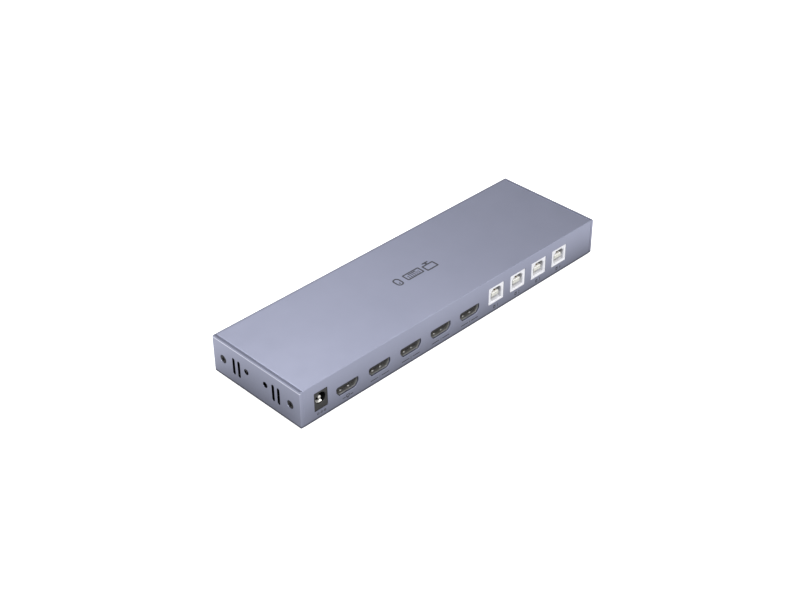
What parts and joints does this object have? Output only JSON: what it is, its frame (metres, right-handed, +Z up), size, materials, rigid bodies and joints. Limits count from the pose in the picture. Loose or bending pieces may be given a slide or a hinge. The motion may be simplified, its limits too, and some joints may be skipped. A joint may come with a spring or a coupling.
{
  "type": "kvm switch",
  "caption": "Slim metal box that switches one keyboard, monitor and mouse between computers, with rear video, host and power sockets and a front select button.",
  "frame": {"origin": "on the resting plane, under the middle of the case", "axes": "+X along the length towards the end beside the power socket, +Y out of the rear face with the video, host and power sockets, -Y out of the front face with the select button, +Z up"},
  "size_m": [0.225, 0.0686, 0.024],
  "materials": {
    "case_aluminium": "satin blue-grey anodised",
    "screw_steel": "zinc plated, dull",
    "tray_sheet": "zinc plated sheet steel",
    "foot_rubber": "matt black",
    "board_laminate": "glass-fibre laminate with green solder mask",
    "black_plastic": "black moulded plastic",
    "contact_metal": "nickel plated brass",
    "socket_nickel": "nickel plated sheet, dulled",
    "white_plastic": "white moulded plastic, semi-matt",
    "light_pipe_acrylic": "clear moulded acrylic",
    "chip_package": "black moulding compound",
    "black_aluminium": "black anodised",
    "capacitor_can": "bare aluminium can",
    "ferrite": "dark grey ferrite"
  },
  "bodies": {
    "case": {"base_tray": "tray_sheet", "board_screw_1": "screw_steel", "board_screw_2": "screw_steel", "board_screw_3": "screw_steel", "board_screw_4": "screw_steel", "channel_light_1": "light_pipe_acrylic", "channel_light_2": "light_pipe_acrylic", "channel_light_3": "light_pipe_acrylic", "channel_light_4": "light_pipe_acrylic", "console_1_shell": "socket_nickel", "console_1_tongue": "white_plastic", "console_2_shell": "socket_nickel", "console_2_tongue": "white_plastic", "console_3_shell": "socket_nickel", "console_3_tongue": "white_plastic", "console_4_shell": "socket_nickel", "console_4_tongue": "white_plastic", "cover": "case_aluminium", "crystal_can": "socket_nickel", "end_cap_left": "case_aluminium", "end_cap_right": "case_aluminium", "end_cap_screw_1": "screw_steel", "end_cap_screw_2": "screw_steel", "end_cap_screw_3": "screw_steel", "end_cap_screw_4": "screw_steel", "filter_capacitor_1": "capacitor_can", "filter_capacitor_2": "capacitor_can", "heat_sink": "black_aluminium", "host_1_contact_block": "white_plastic", "host_1_housing": "white_plastic", "host_2_contact_block": "white_plastic", "host_2_housing": "white_plastic", "host_3_contact_block": "white_plastic", "host_3_housing": "white_plastic", "host_4_contact_block": "white_plastic", "host_4_housing": "white_plastic", "hub_chip": "chip_package", "main_board": "board_laminate", "power_inductor": "ferrite", "power_socket_contact": "contact_metal", "power_socket_housing": "black_plastic", "power_socket_pin": "contact_metal", "rubber_foot_1": "foot_rubber", "rubber_foot_2": "foot_rubber", "rubber_foot_3": "foot_rubber", "rubber_foot_4": "foot_rubber", "select_switch_body": "black_plastic", "video_1_shell": "socket_nickel", "video_1_tongue": "black_plastic", "video_2_shell": "socket_nickel", "video_2_tongue": "black_plastic", "video_3_shell": "socket_nickel", "video_3_tongue": "black_plastic", "video_4_shell": "socket_nickel", "video_4_tongue": "black_plastic", "video_out_shell": "socket_nickel", "video_out_tongue": "black_plastic", "video_switch_chip": "chip_package"},
    "select_button": {"select_button": "case_aluminium", "select_switch_plunger": "black_plastic"}
  },
  "joints": [
    {"name": "select_press", "type": "slide", "parent": "case", "child": "select_button", "axis": [0, 1, 0], "range_m": [0, 0.0004], "stiffness_N_per_m": 40, "springref_m": -0.004}
  ]
}
